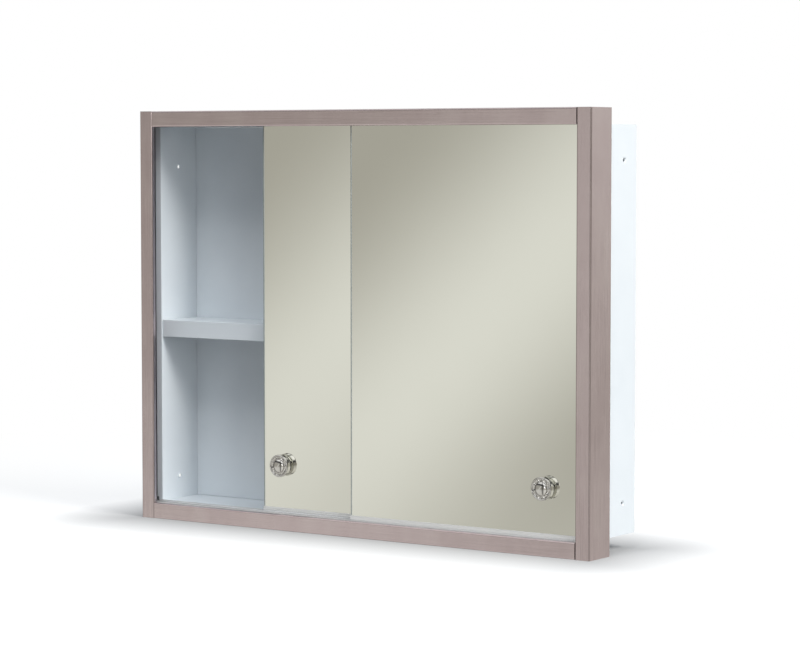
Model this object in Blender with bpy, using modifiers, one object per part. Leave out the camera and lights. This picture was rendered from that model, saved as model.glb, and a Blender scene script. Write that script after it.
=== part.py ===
"""Recessed bathroom medicine cabinet with two bypass sliding mirrors, in metres.

X runs across the front, Y runs into the wall and Z runs up. The origin is the centre of the wall
opening, in the plane of the wall's face: the face frame stands in front of it, at negative Y, and
the sheet steel body goes into the wall, at positive Y. A folded sheet is given by the path of one
of its faces, with the metal on the left of that path.
"""

import math

import bmesh
import bpy
from mathutils import Matrix, Vector

CLEARANCE = 0.0003

# Face frame
FRAME_WIDTH = 0.622
FRAME_HEIGHT = 0.483
FRAME_DEPTH = 0.042
FRAME_FACE = 0.0185
FRAME_SHEET = 0.001
FRAME_LIP = 0.005
FRAME_BEND = 0.0016
SIDE = FRAME_WIDTH / 2
TOP = FRAME_HEIGHT / 2
BOTTOM = -TOP

# Body in the wall
BODY_SHEET = 0.0009
BODY_SIDE = SIDE - 0.010
BODY_TOP = TOP - 0.0178
BODY_FRONT = -0.017
BODY_REAR = 0.070
SIDE_FLANGE = 0.007
TOP_FLANGE = 0.012
BACK_FACE = 0.049
BACK_INSET = 0.0005
INNER_SIDE = BODY_SIDE - BODY_SHEET
INNER_TOP = BODY_TOP - BODY_SHEET

# Mounting holes in the side panels
MOUNT_HOLE_RADIUS = 0.0020
LEFT_HOLE_Y = 0.0150
RIGHT_HOLE_Y = 0.0445
LEFT_HOLES_Z = (-0.196, 0.176)
RIGHT_HOLES_Z = (-0.189, 0.185)
DIMPLE_RADIUS = 0.0040
DIMPLE_TIP = 0.0027
DIMPLE_DEPTH = 0.0012
DIMPLE_SEGMENTS = 24

# Shelf
SHELF_TOP = BOTTOM + 0.2352
SHELF_FRONT = -0.0155
SHELF_LIP = 0.020
SHELF_RETURN = 0.0075
SHELF_FLANGE = 0.012

# Door tracks: ribs on each side of two grooves, the front one first
RIB = 0.0009
GROOVE = 0.0083
FRONT_GROOVE_Y = -0.03155
REAR_GROOVE_Y = FRONT_GROOVE_Y + GROOVE + RIB
TRACK_END = SIDE - FRAME_SHEET - CLEARANCE
GROOVE_FLOOR = BOTTOM + 0.012
BOTTOM_RIB_TOP = BOTTOM + 0.0195
TOP_RIB_END = TOP - 0.0165
TOP_WEB = 0.001
TRACK_RIVET_SPACING = 0.200
TOP_RIVET_Z = TOP - 0.0085
BOTTOM_RIVET_Z = BOTTOM + 0.0085

# Sliding mirrors
PANE_WIDTH = 0.312
PANE_THICKNESS = 0.004
PANE_TOP = TOP - 0.0115
PANE_EDGE = 0.0005
DOOR_REACH = 0.3028
LEFT_DOOR_OPENING = 0.1623
BACKING = 0.0004
BACKING_INSET = 0.001
SHOE_SHEET = 0.0008
SHOE_WIDTH = 0.0069
SHOE_BOTTOM = BOTTOM + 0.015
SHOE_TOP = BOTTOM + 0.0243
PANE_FRONT = -SHOE_WIDTH / 2 + SHOE_SHEET + CLEARANCE
PANE_REAR = PANE_FRONT + PANE_THICKNESS
BACKING_REAR = PANE_REAR + CLEARANCE + BACKING
GLIDE_LENGTH = 0.024
GLIDE_WIDTH = 0.0055
GLIDE_INSET = 0.040
BUMPER_WIDTH = 0.0066
BUMPER_TOP = BOTTOM + 0.023

# Knobs and their fixings
LEFT_KNOB_INSET = 0.0285
RIGHT_KNOB_INSET = 0.0525
KNOB_Z = BOTTOM + 0.0735
KNOB_HEIGHT = 0.0100
KNOB_DOME = 0.0026
KNOB_NECK = 0.0012
KNOB_NECK_RADIUS = 0.0112
KNOB_HEAD_RADIUS = 0.0130
KNOB_DISH_RADIUS = 0.0108
KNOB_DOME_RADIUS = 0.0064
KNOB_BORE_RADIUS = 0.0023
KNOB_BORE_DEPTH = 0.0060
PANE_HOLE_RADIUS = 0.0025
GASKET_RADIUS = 0.0108
GASKET = 0.0008
WASHER_RADIUS = 0.006
WASHER = 0.0008
SCREW_RADIUS = 0.002
SCREW_HEAD_RADIUS = 0.004
SCREW_HEAD = 0.002
SCREW_REACH = 0.0050
RECESS_LONG = 0.0020
RECESS_SHORT = 0.0005
RECESS_DEPTH = 0.0012
KNOB_SEGMENTS = 36
SMALL_SEGMENTS = 16

# Corner brackets and rivets
BRACKET = 0.0012
BRACKET_LENGTH = 0.042
BRACKET_HEIGHT = 0.048
BRACKET_STILE_ARM = 0.0082
BRACKET_RAIL_ARM = 0.0159
BRACKET_FRONT = -FRAME_SHEET - CLEARANCE - BRACKET
BRACKET_RIVET_X = SIDE - 0.0260
BRACKET_RIVET_Z = TOP - 0.0092
STILE_RIVET_X = SIDE - 0.0054
STILE_RIVET_Z = TOP - 0.0380
RIVET_RADIUS = 0.0012
RIVET_HOLE_RADIUS = 0.0015
RIVET_HEAD_RADIUS = 0.0022
RIVET_TAIL_RADIUS = 0.0019
RIVET_HEAD = 0.0008

PARTS = None
CUTTERS = None
FINISHES = {}


def clear_scene():
    for obj in list(bpy.data.objects):
        bpy.data.objects.remove(obj, do_unlink=True)


def new_collection(name):
    made = bpy.data.collections.new(name)
    bpy.context.scene.collection.children.link(made)
    return made


def add_finish(name, colour, roughness, metallic):
    made = bpy.data.materials.new(name)
    made.use_nodes = True
    shader = made.node_tree.nodes["Principled BSDF"]
    shader.inputs["Base Color"].default_value = (*colour, 1.0)
    shader.inputs["Roughness"].default_value = roughness
    shader.inputs["Metallic"].default_value = metallic
    made.diffuse_color = (*colour, 1.0)
    FINISHES[name] = made


def add_finishes():
    add_finish("brushed_stainless", (0.36, 0.33, 0.32), 0.35, 1.0)
    add_finish("white_enamel", (0.86, 0.88, 0.90), 0.35, 0.0)
    add_finish("mirror_glass", (0.70, 0.71, 0.64), 0.03, 1.0)
    add_finish("backing_film", (0.22, 0.24, 0.25), 0.60, 0.0)
    add_finish("bright_aluminium", (0.80, 0.81, 0.82), 0.28, 1.0)
    add_finish("chrome", (0.86, 0.87, 0.88), 0.05, 1.0)
    add_finish("black_rubber", (0.03, 0.03, 0.03), 0.80, 0.0)
    add_finish("white_nylon", (0.82, 0.82, 0.78), 0.50, 0.0)
    add_finish("zinc_plate", (0.62, 0.63, 0.64), 0.35, 1.0)


def place(obj, finish, location=(0, 0, 0), rotation=(0, 0, 0), parent=None):
    """Puts a finished piece in the cabinet's collection."""
    PARTS.objects.link(obj)
    obj.parent = parent
    obj.location = location
    obj.rotation_euler = rotation
    obj.data.materials.clear()
    obj.data.materials.append(FINISHES[finish])
    return obj


def place_cutter(obj, parent=None):
    CUTTERS.objects.link(obj)
    obj.parent = parent
    obj.hide_render = True
    obj.display_type = "WIRE"
    return obj


def mesh_object(name, shape):
    """An object from a bmesh, which is freed."""
    mesh = bpy.data.meshes.new(name)
    shape.to_mesh(mesh)
    shape.free()
    return bpy.data.objects.new(name, mesh)


def add_box(shape, low, high):
    low = Vector(low)
    high = Vector(high)
    size = Matrix.Diagonal((*(high - low), 1.0))
    bmesh.ops.create_cube(shape, size=1.0, matrix=Matrix.Translation((low + high) / 2) @ size)


def add_cone(shape, start, end, start_radius, end_radius, segments=SMALL_SEGMENTS):
    """A closed cone or cylinder from one point to another."""
    start = Vector(start)
    run = Vector(end) - start
    turn = Vector((0, 0, 1)).rotation_difference(run).to_matrix().to_4x4()
    bmesh.ops.create_cone(
        shape,
        cap_ends=True,
        segments=segments,
        radius1=start_radius,
        radius2=end_radius,
        depth=run.length,
        matrix=Matrix.Translation(start + run / 2) @ turn,
    )


def hole_cutter(name, centres, radius, length, parent=None):
    """One cutter with a cylinder along Y at each centre."""
    shape = bmesh.new()
    half = Vector((0, length / 2, 0))
    for centre in centres:
        add_cone(shape, Vector(centre) - half, Vector(centre) + half, radius, radius)
    return place_cutter(mesh_object(name, shape), parent)


def combine(obj, other, operation):
    modifier = obj.modifiers.new(operation.title(), "BOOLEAN")
    modifier.operation = operation
    modifier.object = other
    modifier.solver = "EXACT"


def soften(obj, width, segments=2):
    modifier = obj.modifiers.new("Bevel", "BEVEL")
    modifier.width = width
    modifier.segments = segments
    modifier.limit_method = "ANGLE"
    modifier.angle_limit = math.radians(40)


def folded_sheet(name, path, thickness, start, end, vertical=False):
    """A bent sheet: its path lies in XY for a vertical piece and in YZ for one along X."""
    shape = bmesh.new()
    along = Vector((0, 0, 1)) if vertical else Vector((1, 0, 0))
    at = (lambda a, b: Vector((a, b, start))) if vertical else (lambda a, b: Vector((start, a, b)))
    corners = [shape.verts.new(at(a, b)) for a, b in path]
    edges = [shape.edges.new(pair) for pair in zip(corners, corners[1:])]
    outward = (corners[1].co - corners[0].co).cross(along)
    swept = bmesh.ops.extrude_edge_only(shape, edges=edges)["geom"]
    moved = [item for item in swept if isinstance(item, bmesh.types.BMVert)]
    bmesh.ops.translate(shape, verts=moved, vec=along * (end - start))
    shape.normal_update()
    if edges[0].link_faces[0].normal.dot(outward) < 0:
        bmesh.ops.reverse_faces(shape, faces=shape.faces)
    obj = mesh_object(name, shape)
    solid = obj.modifiers.new("Solidify", "SOLIDIFY")
    solid.thickness = thickness
    solid.offset = -1.0
    solid.use_even_offset = True
    return obj


def with_bends(path, bent, radius, steps=5):
    """A path with its corners of the given indices turned into arcs."""
    points = []
    for index, point in enumerate(path):
        if index not in bent:
            points.append(point)
            continue
        corner, before, after = Vector(point), Vector(path[index - 1]), Vector(path[index + 1])
        start = corner + (before - corner).normalized() * radius
        end = corner + (after - corner).normalized() * radius
        centre = start + end - corner
        for step in range(steps + 1):
            spoke = (start - centre).normalized().slerp((end - centre).normalized(), step / steps)
            points.append(tuple(centre + spoke * radius))
    return points


def mirrored(path):
    """A path reflected in its first axis, turned round so that the metal stays on its left."""
    return [(-a, b) for a, b in reversed(path)]


def flipped(path):
    """A path reflected in its second axis, turned round so that the metal stays on its left."""
    return [(a, -b) for a, b in reversed(path)]


def outline_solid(name, outline, thickness, place_in):
    """A flat outline with a thickness, as a mesh. The matrix takes the outline's plane to its place."""
    curve = bpy.data.curves.new(name, "CURVE")
    curve.dimensions = "2D"
    curve.fill_mode = "BOTH"
    curve.extrude = thickness / 2
    spline = curve.splines.new("POLY")
    spline.points.add(len(outline) - 1)
    for point, (a, b) in zip(spline.points, outline):
        point.co = (a, b, 0, 1)
    spline.use_cyclic_u = True
    drawn = bpy.data.objects.new(name + "_outline", curve)
    PARTS.objects.link(drawn)
    bpy.context.view_layer.update()
    graph = bpy.context.evaluated_depsgraph_get()
    mesh = bpy.data.meshes.new_from_object(drawn.evaluated_get(graph))
    bpy.data.objects.remove(drawn)
    shape = bmesh.new()
    shape.from_mesh(mesh)
    bpy.data.meshes.remove(mesh)
    bmesh.ops.remove_doubles(shape, verts=shape.verts, dist=1e-6)
    bmesh.ops.transform(shape, matrix=place_in, verts=shape.verts)
    bmesh.ops.recalc_face_normals(shape, faces=shape.faces)
    return mesh_object(name, shape)


def turned(name, profile, segments):
    """A turned piece around its own Z, from points of radius and height that run from top to bottom."""
    mesh = bpy.data.meshes.new(name)
    points = [(radius, 0, height) for radius, height in profile]
    mesh.from_pydata(points, [(i, i + 1) for i in range(len(points) - 1)], [])
    obj = bpy.data.objects.new(name, mesh)
    screw = obj.modifiers.new("Screw", "SCREW")
    screw.angle = 2 * math.pi
    screw.steps = segments
    screw.render_steps = segments
    screw.axis = "Z"
    screw.use_merge_vertices = True
    screw.merge_threshold = 0.00001
    screw.use_smooth_shade = True
    return obj


def arc(centre, radii, start, end, steps):
    """Points of an elliptical arc in a turned profile, angles in degrees from +X."""
    angles = [math.radians(start + (end - start) * i / steps) for i in range(steps + 1)]
    return [(centre[0] + radii[0] * math.cos(a), centre[1] + radii[1] * math.sin(a)) for a in angles]


def ring(name, outer, inner, thickness, segments):
    """A flat ring around its own Z, standing on its origin."""
    profile = [(inner, thickness), (outer, thickness), (outer, 0), (inner, 0), (inner, thickness)]
    return turned(name, profile, segments)


# Body in the wall


def side_panel(name, side):
    path = [
        (-BODY_SIDE, BODY_REAR),
        (-BODY_SIDE, BODY_FRONT + BODY_SHEET),
        (-BODY_SIDE - SIDE_FLANGE, BODY_FRONT + BODY_SHEET),
    ]
    path = path if side < 0 else mirrored(path)
    panel = folded_sheet(name, path, BODY_SHEET, -BODY_TOP, BODY_TOP, vertical=True)
    press_dimples(panel, side)
    place(panel, "white_enamel")


def dimple_forms():
    """Profiles of a dimple around a screw hole, from its tip: the raised inner side, the sunk outer one."""
    root = -DIMPLE_DEPTH - BODY_SHEET / 2
    beyond = -DIMPLE_DEPTH - BODY_SHEET - CLEARANCE
    raised = [(0, 0), (DIMPLE_TIP, 0), (DIMPLE_RADIUS, root), (0, root)]
    sunk = [
        (0, CLEARANCE),
        (MOUNT_HOLE_RADIUS, CLEARANCE),
        (MOUNT_HOLE_RADIUS, -DIMPLE_DEPTH * 0.6),
        (DIMPLE_RADIUS * 0.9, beyond),
        (0, beyond),
    ]
    half_step = math.pi / DIMPLE_SEGMENTS
    return ("raised", raised, "UNION", 0), ("sunk", sunk, "DIFFERENCE", half_step)


def press_dimples(panel, side):
    hole_y = LEFT_HOLE_Y if side < 0 else RIGHT_HOLE_Y
    holes_z = LEFT_HOLES_Z if side < 0 else RIGHT_HOLES_Z
    for label, profile, operation, spin in dimple_forms():
        for height, z in zip(("lower", "upper"), holes_z):
            form = place_cutter(turned(f"{panel.name}_{height}_{label}", profile, DIMPLE_SEGMENTS))
            form.location = (side * (INNER_SIDE - DIMPLE_DEPTH), hole_y, z)
            form.rotation_mode = "ZYX"
            form.rotation_euler = (0, -side * math.pi / 2, spin)
            combine(panel, form, operation)


def rivet_row(z, y):
    """The places of a track's three rivets."""
    return [(step * TRACK_RIVET_SPACING, y, z) for step in (-1, 0, 1)]


def cap_panel(name, side):
    """The top or bottom panel, with its flange turned away from the hollow of the body."""
    path = [
        (BODY_REAR, BODY_TOP),
        (BODY_FRONT + BODY_SHEET, BODY_TOP),
        (BODY_FRONT + BODY_SHEET, BODY_TOP + TOP_FLANGE),
    ]
    path = path if side > 0 else flipped(path)
    half = INNER_SIDE - CLEARANCE
    panel = folded_sheet(name, path, BODY_SHEET, -half, half)
    rivet_z = TOP_RIVET_Z if side > 0 else BOTTOM_RIVET_Z
    holes = hole_cutter(name + "_holes", rivet_row(rivet_z, BODY_FRONT), RIVET_HOLE_RADIUS, 0.004)
    combine(panel, holes, "DIFFERENCE")
    place(panel, "white_enamel")


def back_panel():
    """A shallow pan: the back of the hollow, with four flanges turned to the rear."""
    shape = bmesh.new()
    half_width = INNER_SIDE - CLEARANCE
    half_height = INNER_TOP - CLEARANCE
    low = (-half_width, BACK_FACE, -half_height)
    add_box(shape, low, (half_width, BODY_REAR - BACK_INSET, half_height))
    rear = max(shape.faces, key=lambda face: face.calc_center_median().y)
    bmesh.ops.delete(shape, geom=[rear], context="FACES_ONLY")
    pan = mesh_object("back_panel", shape)
    solid = pan.modifiers.new("Solidify", "SOLIDIFY")
    solid.thickness = BODY_SHEET
    solid.offset = -1.0
    solid.use_even_offset = True
    place(pan, "white_enamel")


def shelf():
    """A pan shelf: front lip with a bottom return, a back flange and two end flanges."""
    rear = BACK_FACE - CLEARANCE
    path = [
        (rear, SHELF_TOP - SHELF_FLANGE),
        (rear, SHELF_TOP),
        (SHELF_FRONT, SHELF_TOP),
        (SHELF_FRONT, SHELF_TOP - SHELF_LIP),
        (SHELF_FRONT + SHELF_RETURN, SHELF_TOP - SHELF_LIP),
    ]
    half = INNER_SIDE - CLEARANCE
    made = folded_sheet("shelf", path, BODY_SHEET, -half, half)
    soften(made, 0.0003, 1)
    ends = bmesh.new()
    for inner in (-half, half - BODY_SHEET):
        low = (inner, SHELF_FRONT + BODY_SHEET / 2, SHELF_TOP - SHELF_FLANGE)
        high = (inner + BODY_SHEET, rear - BODY_SHEET / 2, SHELF_TOP - BODY_SHEET / 2)
        add_box(ends, low, high)
    combine(made, place_cutter(mesh_object("shelf_end_flanges", ends)), "UNION")
    place(made, "white_enamel")


# Face frame


def stile(name, side):
    """A full-height side of the frame: rear return, outer side, face and inner lip."""
    path = [
        (-BODY_SIDE - CLEARANCE, 0),
        (-SIDE, 0),
        (-SIDE, -FRAME_DEPTH),
        (-SIDE + FRAME_FACE, -FRAME_DEPTH),
        (-SIDE + FRAME_FACE, -FRAME_DEPTH + FRAME_LIP),
    ]
    path = with_bends(path, (2, 3), FRAME_BEND)
    path = path if side < 0 else mirrored(path)
    made = folded_sheet(name, path, FRAME_SHEET, BOTTOM, TOP, vertical=True)
    soften(made, 0.0002, 1)
    combine(made, stile_ends(name + "_ends", side), "UNION")
    centres = [(side * STILE_RIVET_X, 0, z) for z in (-STILE_RIVET_Z, STILE_RIVET_Z)]
    combine(made, hole_cutter(name + "_holes", centres, RIVET_HOLE_RADIUS, 0.004), "DIFFERENCE")
    place(made, "brushed_stainless")


def stile_ends(name, side):
    """Small caps that close the front of a stile's channel, set just inside its two ends."""
    shape = bmesh.new()
    half_sheet = FRAME_SHEET / 2
    xs = sorted((side * (SIDE - half_sheet), side * (SIDE - FRAME_FACE + half_sheet)))
    ys = (-FRAME_DEPTH + half_sheet, -FRAME_DEPTH + FRAME_LIP - CLEARANCE)
    for centre_z in (BOTTOM + FRAME_SHEET, TOP - FRAME_SHEET):
        low = (xs[0], ys[0], centre_z - half_sheet)
        add_box(shape, low, (xs[1], ys[1], centre_z + half_sheet))
    return place_cutter(mesh_object(name, shape))


def rail(name, side):
    """The top or bottom of the frame, coped so that its web and return reach into the stiles."""
    path = [
        (0, TOP - FRAME_FACE + FRAME_SHEET),
        (0, TOP),
        (-FRAME_DEPTH, TOP),
        (-FRAME_DEPTH, TOP - FRAME_FACE),
        (-FRAME_DEPTH + FRAME_LIP, TOP - FRAME_FACE),
    ]
    path = with_bends(path, (2, 3), FRAME_BEND)
    path = path if side > 0 else flipped(path)
    made = folded_sheet(name, path, FRAME_SHEET, -TRACK_END, TRACK_END)
    soften(made, 0.0002, 1)
    combine(made, cope_cutter(name + "_copes"), "DIFFERENCE")
    centres = [(x, 0, side * BRACKET_RIVET_Z) for x in (-BRACKET_RIVET_X, BRACKET_RIVET_X)]
    combine(made, hole_cutter(name + "_holes", centres, RIVET_HOLE_RADIUS, 0.004), "DIFFERENCE")
    place(made, "brushed_stainless")


def cope_cutter(name):
    """Takes the face, lip and rear return off the ends of a rail, where the stiles stand."""
    shape = bmesh.new()
    face_end = SIDE - FRAME_FACE - CLEARANCE
    return_end = BODY_SIDE
    beyond = SIDE + 0.01
    web_front = -FRAME_DEPTH + FRAME_LIP + CLEARANCE
    web_rear = -FRAME_SHEET - CLEARANCE
    for side in (-1, 1):
        xs = sorted((side * face_end, side * beyond))
        add_box(shape, (xs[0], -FRAME_DEPTH - 0.01, -1), (xs[1], web_front, 1))
        xs = sorted((side * return_end, side * beyond))
        add_box(shape, (xs[0], web_rear, -1), (xs[1], 0.01, 1))
    return place_cutter(mesh_object(name, shape))


def corner_bracket(name, side_x, side_z):
    """An L-shaped plate behind a corner of the frame, riveted to both rear returns."""
    outer_x = SIDE - FRAME_SHEET - CLEARANCE
    outer_z = TOP - FRAME_SHEET - CLEARANCE
    outline = [
        (outer_x, outer_z),
        (outer_x - BRACKET_LENGTH, outer_z),
        (outer_x - BRACKET_LENGTH, outer_z - BRACKET_RAIL_ARM),
        (outer_x - BRACKET_STILE_ARM, outer_z - BRACKET_RAIL_ARM),
        (outer_x - BRACKET_STILE_ARM, outer_z - BRACKET_HEIGHT),
        (outer_x, outer_z - BRACKET_HEIGHT),
    ]
    outline = [(side_x * x, side_z * z) for x, z in outline]
    upright = Matrix.Rotation(math.pi / 2, 4, "X")
    move = Matrix.Translation((0, BRACKET_FRONT + BRACKET / 2, 0))
    made = outline_solid(name, outline, BRACKET, move @ upright)
    centres = [
        (side_x * BRACKET_RIVET_X, BRACKET_FRONT, side_z * BRACKET_RIVET_Z),
        (side_x * STILE_RIVET_X, BRACKET_FRONT, side_z * STILE_RIVET_Z),
    ]
    combine(made, hole_cutter(name + "_holes", centres, RIVET_HOLE_RADIUS, 0.004), "DIFFERENCE")
    place(made, "zinc_plate")
    for label, (x, _, z) in zip(("rail", "stile"), centres):
        rivet = bracket_rivet(f"{name}_{label}_rivet")
        place(rivet, "zinc_plate", (x, 0, z), (math.pi / 2, 0, 0))


def bracket_rivet(name):
    """A rivet with its head on the bracket and its end flush with the rear of the frame."""
    head_base = -BRACKET_FRONT + CLEARANCE
    dome = arc((0, head_base), (RIVET_HEAD_RADIUS, RIVET_HEAD), 90, 0, 4)
    profile = [*dome, (RIVET_RADIUS, head_base), (RIVET_RADIUS, 0.0001), (0, 0.0001)]
    return turned(name, profile, SMALL_SEGMENTS)


# Door tracks


def rib_spans():
    """Front and rear faces of the three ribs."""
    starts = [FRONT_GROOVE_Y - GROOVE / 2 - RIB + i * (GROOVE + RIB) for i in range(3)]
    return [(start, start + RIB) for start in starts]


def track_outline(web_outer, web_inner, rib_end):
    """The section of a track, in Y and Z: three ribs from a web to rib_end."""
    outline = []
    for front, rear in rib_spans():
        outline += [(front, web_inner), (front, rib_end), (rear, rib_end), (rear, web_inner)]
    return [*outline[1:-1], (outline[-1][0], web_outer), (outline[0][0], web_outer)]


def footed_outline(outline, foot_end):
    """The section with a foot under its first and last rib."""
    front, _, rear = rib_spans()
    web_outer = outline[-1][1]
    feet = [
        (rear[1], foot_end),
        (rear[0], foot_end),
        (rear[0], web_outer),
        (front[1], web_outer),
        (front[1], foot_end),
        (front[0], foot_end),
    ]
    return [*outline[:-2], *feet]


def track(name, outline, rivet_z):
    lay_along = Matrix(((0, 0, 1, 0), (1, 0, 0, 0), (0, 1, 0, 0), (0, 0, 0, 1)))
    made = outline_solid(name, outline, 2 * TRACK_END, lay_along)
    rear_rib = sum(rib_spans()[2]) / 2
    holes = hole_cutter(name + "_holes", rivet_row(rivet_z, rear_rib), RIVET_HOLE_RADIUS, 0.003)
    combine(made, holes, "DIFFERENCE")
    place(made, "bright_aluminium")
    for label, (x, _, z) in zip(("left", "centre", "right"), rivet_row(rivet_z, 0)):
        rivet = track_rivet(f"{name}_{label}_rivet")
        place(rivet, "bright_aluminium", (x, 0, z), (math.pi / 2, 0, 0))


def track_rivet(name):
    """A rivet through the rear rib and the body's flange, with a domed head and a flat tail."""
    head_base = -rib_spans()[2][0] + CLEARANCE
    tail_face = -BODY_FRONT - BODY_SHEET - CLEARANCE
    dome = arc((0, head_base), (RIVET_HEAD_RADIUS, RIVET_HEAD), 90, 0, 4)
    tail_end = tail_face - 0.0007
    tail = [(RIVET_TAIL_RADIUS, tail_face), (RIVET_TAIL_RADIUS, tail_end), (0, tail_end)]
    profile = [*dome, (RIVET_RADIUS, head_base), (RIVET_RADIUS, tail_face), *tail]
    return turned(name, profile, SMALL_SEGMENTS)


def tracks():
    top_web = TOP - FRAME_SHEET - CLEARANCE
    track("top_track", track_outline(top_web, top_web - TOP_WEB, TOP_RIB_END), TOP_RIVET_Z)
    bottom = track_outline(GROOVE_FLOOR - RIB, GROOVE_FLOOR, BOTTOM_RIB_TOP)
    foot_end = BOTTOM + FRAME_SHEET + CLEARANCE
    track("bottom_track", footed_outline(bottom, foot_end), BOTTOM_RIVET_Z)


def bumper(name, side, groove_y):
    """A rubber stop at the end of a groove of the bottom track."""
    shape = bmesh.new()
    xs = sorted((side * (DOOR_REACH + CLEARANCE), side * TRACK_END))
    half = BUMPER_WIDTH / 2
    low = (xs[0], -half, GROOVE_FLOOR + CLEARANCE)
    add_box(shape, low, (xs[1], half, BUMPER_TOP))
    made = mesh_object(name, shape)
    soften(made, 0.0008)
    place(made, "black_rubber", (0, groove_y, 0))


# Sliding mirrors


def pane(name, parent, knob_x):
    shape = bmesh.new()
    low = (-PANE_WIDTH / 2, PANE_FRONT, SHOE_BOTTOM + SHOE_SHEET + CLEARANCE)
    add_box(shape, low, (PANE_WIDTH / 2, PANE_REAR, PANE_TOP))
    made = mesh_object(name, shape)
    soften(made, PANE_EDGE)
    centre = (knob_x, (PANE_FRONT + PANE_REAR) / 2, KNOB_Z)
    holes = hole_cutter(name + "_hole", [centre], PANE_HOLE_RADIUS, 0.006, parent)
    combine(made, holes, "DIFFERENCE")
    place(made, "mirror_glass", parent=parent)


def backing(name, parent, knob_x):
    """The film on the silvered side of a pane."""
    shape = bmesh.new()
    half = PANE_WIDTH / 2 - BACKING_INSET
    low = (-half, BACKING_REAR - BACKING, SHOE_BOTTOM + SHOE_SHEET + CLEARANCE)
    add_box(shape, low, (half, BACKING_REAR, PANE_TOP - BACKING_INSET))
    made = mesh_object(name, shape)
    centre = (knob_x, BACKING_REAR, KNOB_Z)
    holes = hole_cutter(name + "_hole", [centre], PANE_HOLE_RADIUS, 0.002, parent)
    combine(made, holes, "DIFFERENCE")
    place(made, "backing_film", parent=parent)


def shoe(name, parent):
    """The channel under a pane."""
    half = SHOE_WIDTH / 2
    path = [(-half, SHOE_TOP), (-half, SHOE_BOTTOM), (half, SHOE_BOTTOM), (half, SHOE_TOP)]
    made = folded_sheet(name, path, SHOE_SHEET, -PANE_WIDTH / 2, PANE_WIDTH / 2)
    soften(made, 0.0002, 1)
    place(made, "bright_aluminium", parent=parent)


def glide(name, parent, centre_x):
    shape = bmesh.new()
    low = (-GLIDE_LENGTH / 2, -GLIDE_WIDTH / 2, GROOVE_FLOOR + CLEARANCE)
    high = (GLIDE_LENGTH / 2, GLIDE_WIDTH / 2, SHOE_BOTTOM - CLEARANCE)
    add_box(shape, low, high)
    made = mesh_object(name, shape)
    soften(made, 0.0006)
    place(made, "white_nylon", (centre_x, 0, 0), parent=parent)


def knob_profile():
    """From the tip of the dome, over the dish, rim and side, to the neck and the bore."""
    floor = KNOB_HEIGHT - KNOB_DOME
    dome = arc((0, floor), (KNOB_DOME_RADIUS, KNOB_DOME), 90, 0, 6)
    dish_half = (KNOB_DISH_RADIUS - KNOB_DOME_RADIUS) / 2
    dish = arc((KNOB_DOME_RADIUS + dish_half, floor), (dish_half, 0.0010), 180, 360, 4)[1:]
    rim_half = (KNOB_HEAD_RADIUS - KNOB_DISH_RADIUS) / 2
    rim = arc((KNOB_DISH_RADIUS + rim_half, floor + 0.0008), (rim_half, 0.0012), 180, 0, 5)[1:]
    undercut = KNOB_HEAD_RADIUS - KNOB_NECK_RADIUS
    base = arc((KNOB_NECK_RADIUS, KNOB_NECK + undercut), (undercut, undercut), 0, -90, 3)
    bore = [(KNOB_NECK_RADIUS, 0), (KNOB_BORE_RADIUS, 0), (KNOB_BORE_RADIUS, KNOB_BORE_DEPTH)]
    return [*dome, *dish, *rim, *base, *bore, (0, KNOB_BORE_DEPTH)]


def screw_profile():
    """From the tip of the shank to the pan head, whose top faces down."""
    head = arc((0, 0), (SCREW_HEAD_RADIUS, -SCREW_HEAD), 0, 90, 5)
    shank = PANE_THICKNESS + BACKING + WASHER + GASKET + SCREW_REACH + 5 * CLEARANCE
    tip = [(0, shank), (SCREW_RADIUS * 0.7, shank), (SCREW_RADIUS, shank - 0.0006)]
    return [*tip, (SCREW_RADIUS, 0), *head]


def driver_slot(name, parent, location, half_x, half_z):
    """One bar of the driver's cross in the head of a knob screw."""
    shape = bmesh.new()
    add_box(shape, (-half_x, -RECESS_DEPTH, -half_z), (half_x, RECESS_DEPTH, half_z))
    bar = mesh_object(name, shape)
    bar.location = location
    return place_cutter(bar, parent)


def knob_set(prefix, parent, knob_x):
    """The knob, the gasket under it, and the washer and screw behind the pane."""
    turn = (math.pi / 2, 0, 0)
    gasket_y = PANE_FRONT - CLEARANCE
    knob_y = gasket_y - GASKET - CLEARANCE
    washer_y = BACKING_REAR + CLEARANCE + WASHER
    screw_y = washer_y + CLEARANCE
    knob = turned(prefix + "_knob", knob_profile(), KNOB_SEGMENTS)
    place(knob, "chrome", (knob_x, knob_y, KNOB_Z), turn, parent)
    gasket = ring(prefix + "_knob_gasket", GASKET_RADIUS, PANE_HOLE_RADIUS, GASKET, KNOB_SEGMENTS)
    place(gasket, "black_rubber", (knob_x, gasket_y, KNOB_Z), turn, parent)
    washer = ring(prefix + "_knob_washer", WASHER_RADIUS, PANE_HOLE_RADIUS, WASHER, SMALL_SEGMENTS)
    place(washer, "zinc_plate", (knob_x, washer_y, KNOB_Z), turn, parent)
    screw = turned(prefix + "_knob_screw", screw_profile(), SMALL_SEGMENTS)
    bars = ("wide", RECESS_LONG, RECESS_SHORT), ("tall", RECESS_SHORT, RECESS_LONG)
    for label, half_x, half_z in bars:
        location = (knob_x, screw_y + SCREW_HEAD, KNOB_Z)
        bar = driver_slot(f"{prefix}_{label}_slot", parent, location, half_x, half_z)
        combine(screw, bar, "DIFFERENCE")
    place(screw, "zinc_plate", (knob_x, screw_y, KNOB_Z), turn, parent)


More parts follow.
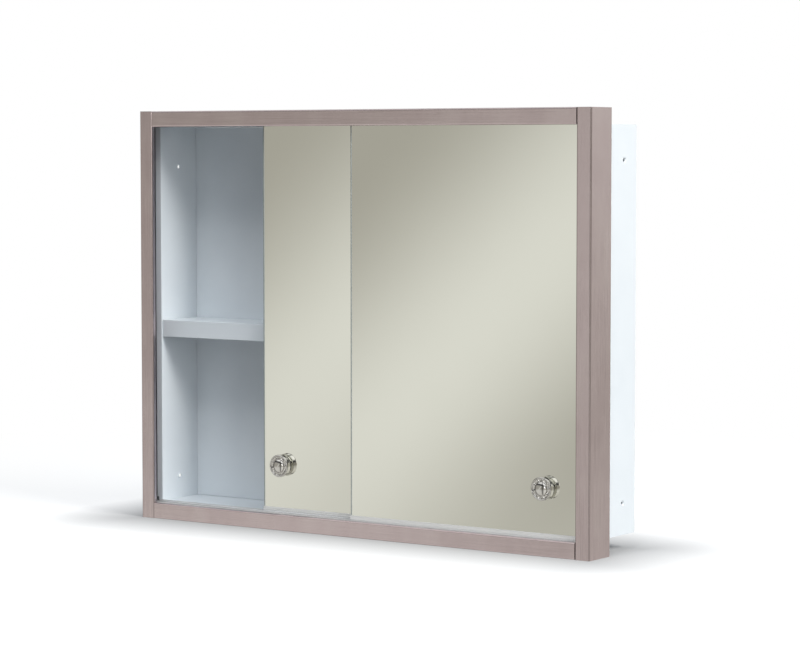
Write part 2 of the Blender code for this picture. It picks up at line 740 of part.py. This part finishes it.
def door(prefix, centre_x, groove_y, knob_x):
    """A sliding mirror, on an empty that stands on the line it slides along."""
    slide_line = bpy.data.objects.new(prefix + "_door_slide", None)
    slide_line.location = (centre_x, groove_y, 0)
    PARTS.objects.link(slide_line)
    pane(prefix + "_mirror", slide_line, knob_x)
    backing(prefix + "_mirror_backing", slide_line, knob_x)
    shoe(prefix + "_shoe", slide_line)
    for end, side in (("left", -1), ("right", 1)):
        glide(f"{prefix}_shoe_{end}_glide", slide_line, side * (PANE_WIDTH / 2 - GLIDE_INSET))
    knob_set(prefix, slide_line, knob_x)


def build():
    global PARTS, CUTTERS
    clear_scene()
    PARTS = new_collection("medicine_cabinet")
    CUTTERS = new_collection("cutters")
    add_finishes()
    side_panel("left_side_panel", -1)
    side_panel("right_side_panel", 1)
    cap_panel("top_panel", 1)
    cap_panel("bottom_panel", -1)
    back_panel()
    shelf()
    stile("left_stile", -1)
    stile("right_stile", 1)
    rail("top_rail", 1)
    rail("bottom_rail", -1)
    for row, side_z in (("top", 1), ("bottom", -1)):
        for end, side_x in (("left", -1), ("right", 1)):
            corner_bracket(f"{row}_{end}_bracket", side_x, side_z)
    tracks()
    for groove, y in (("front", FRONT_GROOVE_Y), ("rear", REAR_GROOVE_Y)):
        bumper(f"{groove}_left_bumper", -1, y)
        bumper(f"{groove}_right_bumper", 1, y)
    closed_x = DOOR_REACH - PANE_WIDTH / 2
    door("left", -closed_x + LEFT_DOOR_OPENING, REAR_GROOVE_Y, LEFT_KNOB_INSET - PANE_WIDTH / 2)
    door("right", closed_x, FRONT_GROOVE_Y, PANE_WIDTH / 2 - RIGHT_KNOB_INSET)


build()
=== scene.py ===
"""The looks of a recessed medicine cabinet with two sliding mirrors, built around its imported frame."""

import math

import bmesh
import bpy
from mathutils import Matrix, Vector


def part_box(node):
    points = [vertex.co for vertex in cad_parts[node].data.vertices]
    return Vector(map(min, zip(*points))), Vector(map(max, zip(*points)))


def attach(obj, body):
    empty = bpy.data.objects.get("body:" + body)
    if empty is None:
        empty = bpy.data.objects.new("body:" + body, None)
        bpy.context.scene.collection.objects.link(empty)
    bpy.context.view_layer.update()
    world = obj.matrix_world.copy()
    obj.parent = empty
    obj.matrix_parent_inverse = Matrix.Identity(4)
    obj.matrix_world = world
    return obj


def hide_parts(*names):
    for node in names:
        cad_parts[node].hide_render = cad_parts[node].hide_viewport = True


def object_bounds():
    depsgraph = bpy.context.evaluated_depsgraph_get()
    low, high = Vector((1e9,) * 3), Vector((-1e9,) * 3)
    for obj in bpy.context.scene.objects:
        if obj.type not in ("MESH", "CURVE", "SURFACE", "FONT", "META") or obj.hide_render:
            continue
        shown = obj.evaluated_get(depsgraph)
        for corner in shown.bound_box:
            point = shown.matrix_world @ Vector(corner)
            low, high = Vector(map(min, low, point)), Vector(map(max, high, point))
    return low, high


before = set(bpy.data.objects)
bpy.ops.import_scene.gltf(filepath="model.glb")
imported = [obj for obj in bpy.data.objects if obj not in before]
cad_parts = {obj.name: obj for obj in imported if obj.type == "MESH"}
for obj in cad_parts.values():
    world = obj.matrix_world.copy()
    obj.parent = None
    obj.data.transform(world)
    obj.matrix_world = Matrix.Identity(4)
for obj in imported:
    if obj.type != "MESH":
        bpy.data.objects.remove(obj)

cad_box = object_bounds()

# The camera: its place in metres, its turn and tilt in degrees, its lens and sensor in millimetres
EYE = (1.8079, -2.5365, 0.1962)
EYE_YAW = 34.946
EYE_PITCH = 3.828
LENS = 123.54
SENSOR = 36.0

# What glossy surfaces see level with the object: a soft diagonal band of cream light
BAND_START = (-0.5819, -0.8060, -0.1090)
BAND_END = (-0.5223, -0.8521, -0.0327)
BAND_HALF = 0.0727
BAND_DARK = (0.427, 0.411, 0.370)
BAND_BRIGHT = (0.790, 0.786, 0.745)

# What they see below and above the band, from straight down (0) to straight up (1), and the
# height at which one gives way to the other, as a part of a unit direction
ROOM = [
    (0.00, (0.55, 0.53, 0.49)),
    (0.30, (0.75, 0.74, 0.70)),
    (0.56, (0.70, 0.69, 0.65)),
    (0.62, (0.050, 0.050, 0.048)),
    (0.70, (0.12, 0.12, 0.12)),
    (0.76, (1.05, 1.05, 1.03)),
    (0.92, (1.15, 1.15, 1.15)),
    (1.00, (0.60, 0.60, 0.60)),
]
BELT_EDGE = (0.10, 0.24)

# The light on matt surfaces, from straight down (0) to straight up (1)
SKY = [(0.0, (0.14, 0.15, 0.16)), (0.5, (0.13, 0.15, 0.17)), (1.0, (0.42, 0.47, 0.52))]

# Light and dark panels round the horizon, as a degree from the front towards +X and a brightness
PANELS = [
    (-180, 0.9), (-112, 0.9), (-98, 0.25), (-78, 0.25), (-62, 1.0), (-24, 1.0), (-17, 0.3), (-10, 0.3),
    (-2, 1.1), (34, 1.25), (50, 0.6), (80, 0.45), (104, 0.95), (130, 1.15), (180, 0.9),
]

# A round softbox that glossy surfaces see: its direction, the cosines of its edge, its brightness
SOFTBOX = (0.205, -0.966, 0.156)
SOFTBOX_EDGE = (0.988, 0.994)
SOFTBOX_GLOW = 2.6

# The floor, in metres: its size, where it fades to plain white, how far the painted shadow round the
# object's foot reaches, and the white glow added at the foot and at the end of that painted shadow;
# the glow is dimmer at the foot to paint in shade there, over the floor's real shadow
FLOOR_RADIUS = 30.0
FLOOR_GREY = 0.42
FLOOR_FADE = (0.5, 1.2)
PAINTED_SHADOW_REACH = 0.12
PAINTED_SHADOW_GLOW = (0.10, 0.68)

# How far the normal of the left pane leans, a slight warp of its glass
LEFT_PANE_LEAN = (0.0, 0.0, -0.0266)

# Ground edge and polished arris of a pane: how far in from its edge and behind its front each ends
GROUND_EDGE = (0.0006, 0.0005)
ARRIS = (0.0021, 0.0)

# The detailed knobs, in metres: the dome, the dish round it, the rim and the neck, then the bore
KNOB_SEGMENTS = 180
DOME_RADIUS = 0.0078
DOME_RISE = 0.0026
DISH_DEPTH = 0.0012
DISH_STEPS = 10
RIM_INSET = 0.0018
NECK_INSET = 0.0018
BORE_RADIUS = 0.0023
BORE_DEPTH = 0.0060
FLUTES = 9
FLUTE_RISE = 0.0009


# Node helpers


class Nodes:
    """Adds nodes to one tree and links them."""

    def __init__(self, tree):
        self.tree = tree

    def add(self, kind, values=None, **settings):
        node = self.tree.nodes.new("ShaderNode" + kind)
        for name, value in settings.items():
            setattr(node, name, value)
        for socket, value in (values or {}).items():
            node.inputs[socket].default_value = value
        return node

    def link(self, source, target):
        self.tree.links.new(source, target)

    def coordinates(self, scale=(1.0, 1.0, 1.0)):
        """The object's own coordinates, in metres, stretched by scale."""
        where = self.add("TexCoord")
        mapping = self.add("Mapping", {"Scale": scale})
        self.link(where.outputs["Object"], mapping.inputs["Vector"])
        return mapping.outputs["Vector"]

    def noise(self, scale, detail=3.0, rough=0.5):
        node = self.add("TexNoise", {"Scale": 1.0, "Detail": detail, "Roughness": rough})
        self.link(self.coordinates(scale), node.inputs["Vector"])
        return node.outputs["Fac"]

    def ramp(self, fac, stops):
        """Colours by position: stops is a list of (position, (r, g, b))."""
        node = self.add("ValToRGB")
        elements = node.color_ramp.elements
        while len(elements) < len(stops):
            elements.new(0.5)
        for element, (position, colour) in zip(elements, stops):
            element.position = position
            element.color = (*colour, 1.0)
        self.link(fac, node.inputs["Fac"])
        return node.outputs["Color"]

    def spread(self, fac, low, high, start=0.3, end=0.7):
        """fac between start and end, spread from low to high."""
        values = {"From Min": start, "From Max": end, "To Min": low, "To Max": high}
        node = self.add("MapRange", values)
        self.link(fac, node.inputs["Value"])
        return node.outputs["Result"]

    def feed(self, sockets, sources):
        """Links each source to its socket, or gives the socket the plain value."""
        for socket, source in zip(sockets, sources):
            if isinstance(source, bpy.types.NodeSocket):
                self.link(source, socket)
            else:
                socket.default_value = source

    def math(self, operation, *sources):
        node = self.add("Math", operation=operation)
        self.feed(node.inputs, sources)
        return node.outputs["Value"]

    def vector(self, operation, *sources):
        node = self.add("VectorMath", operation=operation)
        self.feed(node.inputs, sources)
        return node.outputs["Vector"]

    def measure(self, operation, *sources):
        """A vector operation whose result is one number."""
        node = self.add("VectorMath", operation=operation)
        self.feed(node.inputs, sources)
        return node.outputs["Value"]

    def choose(self, fac, first, second):
        """The first colour where fac is 0 and the second where it is 1."""
        node = self.add("Mix", data_type="RGBA")
        sockets = {socket.identifier: socket for socket in [*node.inputs, *node.outputs]}
        wanted = [sockets[name] for name in ("Factor_Float", "A_Color", "B_Color")]
        self.feed(wanted, (fac, first, second))
        return sockets["Result_Color"]

    def bump(self, height, distance, strength=1.0, normal=None):
        node = self.add("Bump", {"Distance": distance, "Strength": strength})
        self.link(height, node.inputs["Height"])
        if normal:
            self.link(normal, node.inputs["Normal"])
        return node.outputs["Normal"]


def material(name, **values):
    """A material, its Nodes and its Principled BSDF with the values set."""
    made = bpy.data.materials.new(name)
    made.use_nodes = True
    shader = made.node_tree.nodes["Principled BSDF"]
    for socket, value in values.items():
        shader.inputs[socket.replace("_", " ").title()].default_value = value
    return made, Nodes(made.node_tree), shader


# Materials


def brushed_steel(name, along):
    """Warm grey satin steel, its grain along one axis: 0 is X, 1 is Y and 2 is Z."""
    made, nodes, shader = material(name, metallic=1.0)
    scale = [1100.0] * 3
    scale[along] = 14.0
    grain = nodes.noise(scale, 4.0, 0.65)
    broad = nodes.noise((26.0, 26.0, 15.0), 3.0, 0.55)
    stops = [(0.30, (0.635, 0.535, 0.550)), (0.50, (0.665, 0.565, 0.580)), (0.70, (0.695, 0.600, 0.610))]
    colour = nodes.ramp(broad, stops)
    streaked = nodes.add("VectorMath", operation="SCALE")
    nodes.link(colour, streaked.inputs[0])
    nodes.link(nodes.spread(grain, 0.93, 1.06), streaked.inputs["Scale"])
    nodes.link(streaked.outputs["Vector"], shader.inputs["Base Color"])
    nodes.link(nodes.spread(grain, 0.13, 0.21), shader.inputs["Roughness"])
    warp = nodes.bump(broad, 0.00035, 0.6)
    nodes.link(nodes.bump(grain, 0.00006, 0.5, warp), shader.inputs["Normal"])
    return made


def white_enamel():
    made, nodes, shader = material("white_enamel", coat_weight=0.25, coat_roughness=0.12)
    broad = nodes.noise((22.0, 22.0, 22.0), 2.0)
    colour = nodes.ramp(broad, [(0.3, (0.785, 0.832, 0.868)), (0.7, (0.810, 0.855, 0.888))])
    nodes.link(colour, shader.inputs["Base Color"])
    nodes.link(nodes.spread(broad, 0.28, 0.36), shader.inputs["Roughness"])
    nodes.link(nodes.bump(broad, 0.0004, 0.25), shader.inputs["Normal"])
    return made


def mirror_glass(name, lean=(0.0, 0.0, 0.0)):
    made, nodes, shader = material(name, metallic=1.0)
    smudges = nodes.noise((9.0, 9.0, 9.0), 5.0, 0.62)
    colour = nodes.ramp(smudges, [(0.35, (0.853, 0.858, 0.795)), (0.65, (0.862, 0.867, 0.805))])
    nodes.link(colour, shader.inputs["Base Color"])
    nodes.link(nodes.spread(smudges, 0.012, 0.030), shader.inputs["Roughness"])
    if any(lean):
        normal = nodes.add("NewGeometry").outputs["Normal"]
        nodes.link(nodes.vector("ADD", normal, lean), shader.inputs["Normal"])
    return made


def glass_edge():
    made, nodes, shader = material("glass_edge", roughness=0.12, coat_weight=0.6, coat_roughness=0.04)
    ripple = nodes.noise((60.0, 60.0, 240.0), 3.0)
    colour = nodes.ramp(ripple, [(0.3, (0.72, 0.78, 0.72)), (0.7, (0.86, 0.88, 0.83))])
    nodes.link(colour, shader.inputs["Base Color"])
    nodes.link(nodes.bump(ripple, 0.00004, 0.4), shader.inputs["Normal"])
    return made


def backing_film():
    made, nodes, shader = material("backing_film")
    weave = nodes.noise((500.0, 500.0, 500.0), 4.0, 0.6)
    colour = nodes.ramp(weave, [(0.3, (0.16, 0.20, 0.24)), (0.7, (0.20, 0.25, 0.29))])
    nodes.link(colour, shader.inputs["Base Color"])
    nodes.link(nodes.spread(weave, 0.45, 0.62), shader.inputs["Roughness"])
    nodes.link(nodes.bump(weave, 0.0001, 0.5), shader.inputs["Normal"])
    return made


def bright_aluminium():
    """Bright anodised aluminium, with die lines along X."""
    made, nodes, shader = material("bright_aluminium", metallic=0.45)
    lines = nodes.noise((3.0, 1500.0, 1500.0), 3.0, 0.6)
    colour = nodes.ramp(lines, [(0.3, (0.86, 0.86, 0.86)), (0.7, (0.95, 0.95, 0.95))])
    nodes.link(colour, shader.inputs["Base Color"])
    nodes.link(nodes.spread(lines, 0.22, 0.36), shader.inputs["Roughness"])
    nodes.link(nodes.bump(lines, 0.00005, 0.4), shader.inputs["Normal"])
    return made


def chrome():
    made, nodes, shader = material("chrome", metallic=1.0)
    haze = nodes.noise((260.0, 260.0, 260.0), 4.0, 0.6)
    colour = nodes.ramp(haze, [(0.3, (0.66, 0.65, 0.63)), (0.7, (0.72, 0.71, 0.69))])
    nodes.link(colour, shader.inputs["Base Color"])
    nodes.link(nodes.spread(haze, 0.08, 0.12), shader.inputs["Roughness"])
    return made


def plain_grain(name, dark, light, roughness, scale, metallic=0.0):
    """A small part's finish: a speckle of two close colours, with roughness and bump from the same grain."""
    made, nodes, shader = material(name, metallic=metallic)
    grain = nodes.noise((scale,) * 3, 4.0, 0.6)
    nodes.link(nodes.ramp(grain, [(0.3, dark), (0.7, light)]), shader.inputs["Base Color"])
    nodes.link(nodes.spread(grain, roughness - 0.08, roughness + 0.08), shader.inputs["Roughness"])
    nodes.link(nodes.bump(grain, 0.0001, 0.5), shader.inputs["Normal"])
    return made


def finishes():
    """The finish of each CAD node, by the words in its name. The first that fits is taken.

    The plain knobs and panes are hidden by their detailed pieces, so theirs is a stand-in.
    """
    steel_x = brushed_steel("brushed_steel_across", 0)
    steel_z = brushed_steel("brushed_steel_upright", 2)
    enamel = white_enamel()
    aluminium = bright_aluminium()
    zinc = plain_grain("zinc_plate", (0.50, 0.50, 0.49), (0.64, 0.63, 0.60), 0.36, 700.0, 1.0)
    rubber = plain_grain("black_rubber", (0.018, 0.018, 0.020), (0.034, 0.034, 0.036), 0.62, 900.0)
    nylon = plain_grain("white_nylon", (0.74, 0.74, 0.70), (0.83, 0.83, 0.79), 0.42, 600.0)
    return [
        ("rivet", zinc),
        ("knob_screw", zinc),
        ("knob_washer", zinc),
        ("knob_gasket", rubber),
        ("bumper", rubber),
        ("glide", nylon),
        ("knob", zinc),
        ("mirror_backing", backing_film()),
        ("mirror", zinc),
        ("shoe", aluminium),
        ("track", aluminium),
        ("rail", steel_x),
        ("stile", steel_z),
        ("bracket", zinc),
        ("", enamel),
    ]


def finish_nodes():
    rules = finishes()
    for name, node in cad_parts.items():
        found = next(made for word, made in rules if word in name)
        node.data.materials.clear()
        node.data.materials.append(found)


# Pieces


def piece(name, body, shape, finishes_used):
    """A mesh piece that rides on a body, with its materials."""
    data = bpy.data.meshes.new(name)
    shape.to_mesh(data)
    shape.free()
    made = bpy.data.objects.new(name, data)
    bpy.context.scene.collection.objects.link(made)
    for finish in finishes_used:
        data.materials.append(finish)
    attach(made, body)
    return made


def arc(centre, radii, start, end, steps):
    """Points of an elliptical arc, angles in degrees."""
    angles = [math.radians(start + (end - start) * i / steps) for i in range(steps + 1)]
    return [(centre[0] + radii[0] * math.cos(a), centre[1] + radii[1] * math.sin(a)) for a in angles]


def knob_profile(radius, height):
    """Radius, height and share of the flutes' rise, from the middle of the dome to the bore's end."""
    floor = height - DOME_RISE
    dome = arc((0, floor), (DOME_RADIUS, DOME_RISE), 90, 6, 18)
    dish_half = (radius - RIM_INSET - DOME_RADIUS) / 2
    dish = arc((DOME_RADIUS + dish_half, floor), (dish_half, DISH_DEPTH), 180, 360, DISH_STEPS)
    rim = arc((radius - 0.0010, floor - 0.0004), (0.0010, 0.0012), 150, 0, 8)
    side = [(radius, floor - 0.0014), (radius - 0.0002, floor - 0.0026)]
    foot = arc((radius - 0.0012, 0.0022), (0.0010, 0.0010), 0, -90, 6)
    neck = [(radius - NECK_INSET, 0.0011), (radius - NECK_INSET, 0.0)]
    bore = [(BORE_RADIUS, 0.0), (BORE_RADIUS, BORE_DEPTH), (0.0, BORE_DEPTH)]
    fluted = [(r, h, math.sin(math.pi * i / DISH_STEPS)) for i, (r, h) in enumerate(dish)]
    plain_dome = [(r, h, 0.0) for r, h in dome]
    plain_rest = [(r, h, 0.0) for r, h in [*rim, *side, *foot, *neck, *bore]]
    return [*plain_dome, *fluted, *plain_rest]


def detailed_knob(prefix, finish):
    """A chrome knob with a polished dome in a fluted dish, in the place of the plain one."""
    low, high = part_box(prefix + "_knob")
    centre = Vector(((low.x + high.x) / 2, high.y, (low.z + high.z) / 2))
    shape = bmesh.new()
    rings = []
    for radius, height, rise in knob_profile((high.x - low.x) / 2, high.y - low.y):
        if radius < 1e-6:
            rings.append([shape.verts.new(centre - Vector((0, height, 0)))])
            continue
        ring = []
        for step in range(KNOB_SEGMENTS):
            angle = 2 * math.pi * step / KNOB_SEGMENTS
            flute = FLUTE_RISE * rise * (0.5 + 0.5 * math.cos(FLUTES * angle))
            spot = Vector((radius * math.cos(angle), -height - flute, radius * math.sin(angle)))
            ring.append(shape.verts.new(centre + spot))
        rings.append(ring)
    for first, second in zip(rings, rings[1:]):
        for step in range(KNOB_SEGMENTS):
            corners = [first[step % len(first)], first[(step + 1) % len(first)]]
            corners += [second[(step + 1) % len(second)], second[step % len(second)]]
            face = shape.faces.new(list(dict.fromkeys(corners)))
            face.smooth = True
    bmesh.ops.recalc_face_normals(shape, faces=shape.faces)
    made = piece(prefix + "_fluted_knob", prefix + "_door", shape, [finish])
    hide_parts(prefix + "_knob")


def detailed_pane(prefix, silvered, edge, ground):
    """A pane with a polished arris inside a narrow ground edge, in the place of the plain one.

    The steps go from the edge of its back to its silvered front. Material 0 is the silvered glass,
    1 the arris and 2 the ground glass.
    """
    low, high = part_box(prefix + "_mirror")
    steps = [(0.0, high.y - low.y), (0.0, GROUND_EDGE[1]), GROUND_EDGE, ARRIS]
    shape = bmesh.new()
    loops = []
    for inset, depth in steps:
        xs = (low.x + inset, high.x - inset)
        zs = (low.z + inset, high.z - inset)
        places = ((xs[0], zs[0]), (xs[1], zs[0]), (xs[1], zs[1]), (xs[0], zs[1]))
        loops.append([shape.verts.new((x, low.y + depth, z)) for x, z in places])
    for index, (outer, inner) in enumerate(zip(loops, loops[1:])):
        for step in range(4):
            after = (step + 1) % 4
            face = shape.faces.new((outer[step], outer[after], inner[after], inner[step]))
            face.material_index = 1 if index == 2 else 2
    shape.faces.new(loops[-1]).material_index = 0
    shape.faces.new(loops[0]).material_index = 2
    bmesh.ops.recalc_face_normals(shape, faces=shape.faces)
    made = piece(prefix + "_silvered_pane", prefix + "_door", shape, [silvered, edge, ground])
    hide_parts(prefix + "_mirror")


def detail_pieces():
    knob_finish = chrome()
    edge = glass_edge()
    ground = plain_grain("ground_glass", (0.20, 0.21, 0.19), (0.30, 0.31, 0.28), 0.45, 800.0)
    detailed_knob("left", knob_finish)
    detailed_knob("right", knob_finish)
    detailed_pane("left", mirror_glass("left_mirror_glass", LEFT_PANE_LEAN), edge, ground)
    detailed_pane("right", mirror_glass("right_mirror_glass"), edge, ground)


# Light, floor and camera


def studio_world():
    """White behind the object, soft daylight on matt surfaces, and a room with a band in glossy ones."""
    world = bpy.data.worlds.new("studio")
    bpy.context.scene.world = world
    world.use_nodes = True
    tree = world.node_tree
    tree.nodes.clear()
    nodes = Nodes(tree)
    direction = nodes.add("TexCoord").outputs["Generated"]
    split = nodes.add("SeparateXYZ")
    nodes.link(direction, split.inputs["Vector"])
    height = nodes.spread(split.outputs["Z"], 0.0, 1.0, -1.0, 1.0)
    across = Vector(BAND_START).cross(Vector(BAND_END)).normalized()
    off_band = nodes.measure("DOT_PRODUCT", direction, across)
    wave = nodes.math("COSINE", nodes.spread(off_band, -math.pi, math.pi, -BAND_HALF, BAND_HALF))
    band = nodes.ramp(nodes.spread(wave, 0.0, 1.0, -1.0, 1.0), [(0.0, BAND_DARK), (1.0, BAND_BRIGHT)])
    belt = nodes.spread(nodes.math("ABSOLUTE", split.outputs["Z"]), 1.0, 0.0, *BELT_EDGE)
    room = nodes.choose(belt, nodes.ramp(height, ROOM), band)
    back = nodes.math("MULTIPLY", split.outputs["Y"], -1.0)
    turned = nodes.spread(nodes.math("ARCTAN2", split.outputs["X"], back), 0.0, 1.0, -math.pi, math.pi)
    panels = nodes.ramp(turned, [((degree + 180) / 360, (value,) * 3) for degree, value in PANELS])
    facing = nodes.measure("DOT_PRODUCT", direction, Vector(SOFTBOX).normalized())
    softbox = nodes.spread(facing, 0.0, SOFTBOX_GLOW, *SOFTBOX_EDGE)
    reflected = nodes.vector("ADD", nodes.vector("MULTIPLY", room, panels), softbox)
    path = nodes.add("LightPath")
    lit = nodes.choose(path.outputs["Is Glossy Ray"], nodes.ramp(height, SKY), reflected)
    seen = nodes.choose(path.outputs["Is Camera Ray"], lit, (1.0, 1.0, 1.0, 1.0))
    background = nodes.add("Background")
    nodes.link(seen, background.inputs["Color"])
    nodes.link(background.outputs["Background"], nodes.add("OutputWorld").inputs["Surface"])


def area_light(name, location, size, power, colour=(1.0, 1.0, 1.0)):
    """A square softbox aimed at the object. It lights it but isn't seen in its mirrors."""
    data = bpy.data.lights.new(name, "AREA")
    data.shape = "SQUARE"
    data.size = size
    data.energy = power
    data.color = colour
    light = bpy.data.objects.new(name, data)
    light.location = location
    light.rotation_mode = "QUATERNION"
    light.rotation_quaternion = (-Vector(location)).to_track_quat("-Z", "Y")
    light.visible_camera = False
    light.visible_glossy = False
    bpy.context.scene.collection.objects.link(light)


def studio_lights():
    area_light("key", (2.87, -0.61, 1.91), 1.2, 98.0, (1.0, 0.99, 0.97))
    area_light("fill", (2.7, -1.5, 0.6), 1.8, 14.0)
    area_light("top", (0.6, -1.7, 3.0), 1.4, 44.0)


def floor_with_painted_shadow(half_width, half_depth):
    """Pale paint with a painted shadow round the object's foot, where the camera sees its glow dimmed over
    the real shadow, and turn plain white far out.

    Other rays than the camera's see little or none of that glow, so it barely lights the object.
    """
    finish, nodes, shader = material("floor_with_painted_shadow", roughness=0.8)
    white = (1.0, 1.0, 1.0, 1.0)
    shader.inputs["Base Color"].default_value = (FLOOR_GREY, FLOOR_GREY, FLOOR_GREY, 1.0)
    shader.inputs["Specular IOR Level"].default_value = 0.0
    shader.inputs["Emission Color"].default_value = white
    seen = nodes.add("LightPath").outputs["Is Camera Ray"]
    reach = nodes.vector("ABSOLUTE", nodes.coordinates())
    beyond = nodes.vector("SUBTRACT", reach, (half_width, half_depth, 0.0))
    gap = nodes.measure("LENGTH", nodes.vector("MAXIMUM", beyond, (0.0, 0.0, 0.0)))
    # Painted shadow: the camera-only glow is weakest at the object's foot and rises to full over the reach
    painted_shadow_lift = nodes.spread(gap, *PAINTED_SHADOW_GLOW, 0.0, PAINTED_SHADOW_REACH)
    nodes.link(nodes.math("MULTIPLY", painted_shadow_lift, seen), shader.inputs["Emission Strength"])
    glow = nodes.add("Emission", {"Color": white})
    nodes.link(nodes.spread(seen, 0.15, 1.0, 0.0, 1.0), glow.inputs["Strength"])
    far = nodes.spread(nodes.measure("LENGTH", nodes.coordinates()), 0.0, 1.0, *FLOOR_FADE)
    mixed = nodes.add("MixShader")
    nodes.feed(mixed.inputs, (far, shader.outputs["BSDF"], glow.outputs["Emission"]))
    output = next(node for node in finish.node_tree.nodes if node.type == "OUTPUT_MATERIAL")
    nodes.link(mixed.outputs["Shader"], output.inputs["Surface"])
    return finish


def floor():
    low, high = cad_box
    shape = bmesh.new()
    bmesh.ops.create_circle(shape, cap_ends=True, segments=96, radius=FLOOR_RADIUS)
    data = bpy.data.meshes.new("floor")
    shape.to_mesh(data)
    shape.free()
    made = bpy.data.objects.new("floor", data)
    made.location = ((low.x + high.x) / 2, (low.y + high.y) / 2, low.z)
    bpy.context.scene.collection.objects.link(made)
    data.materials.append(floor_with_painted_shadow((high.x - low.x) / 2, (high.y - low.y) / 2))
    made.visible_glossy = False


def camera():
    data = bpy.data.cameras.new("camera")
    data.lens = LENS
    data.sensor_width = SENSOR
    made = bpy.data.objects.new("camera", data)
    yaw, pitch = math.radians(EYE_YAW), math.radians(EYE_PITCH)
    forward = Vector((-math.sin(yaw) * math.cos(pitch), math.cos(yaw) * math.cos(pitch), -math.sin(pitch)))
    made.location = EYE
    made.rotation_mode = "QUATERNION"
    made.rotation_quaternion = forward.to_track_quat("-Z", "Y")
    bpy.context.scene.collection.objects.link(made)
    bpy.context.scene.camera = made


finish_nodes()
detail_pieces()
studio_world()
studio_lights()
floor()
camera()
bpy.context.scene.view_settings.view_transform = "Standard"
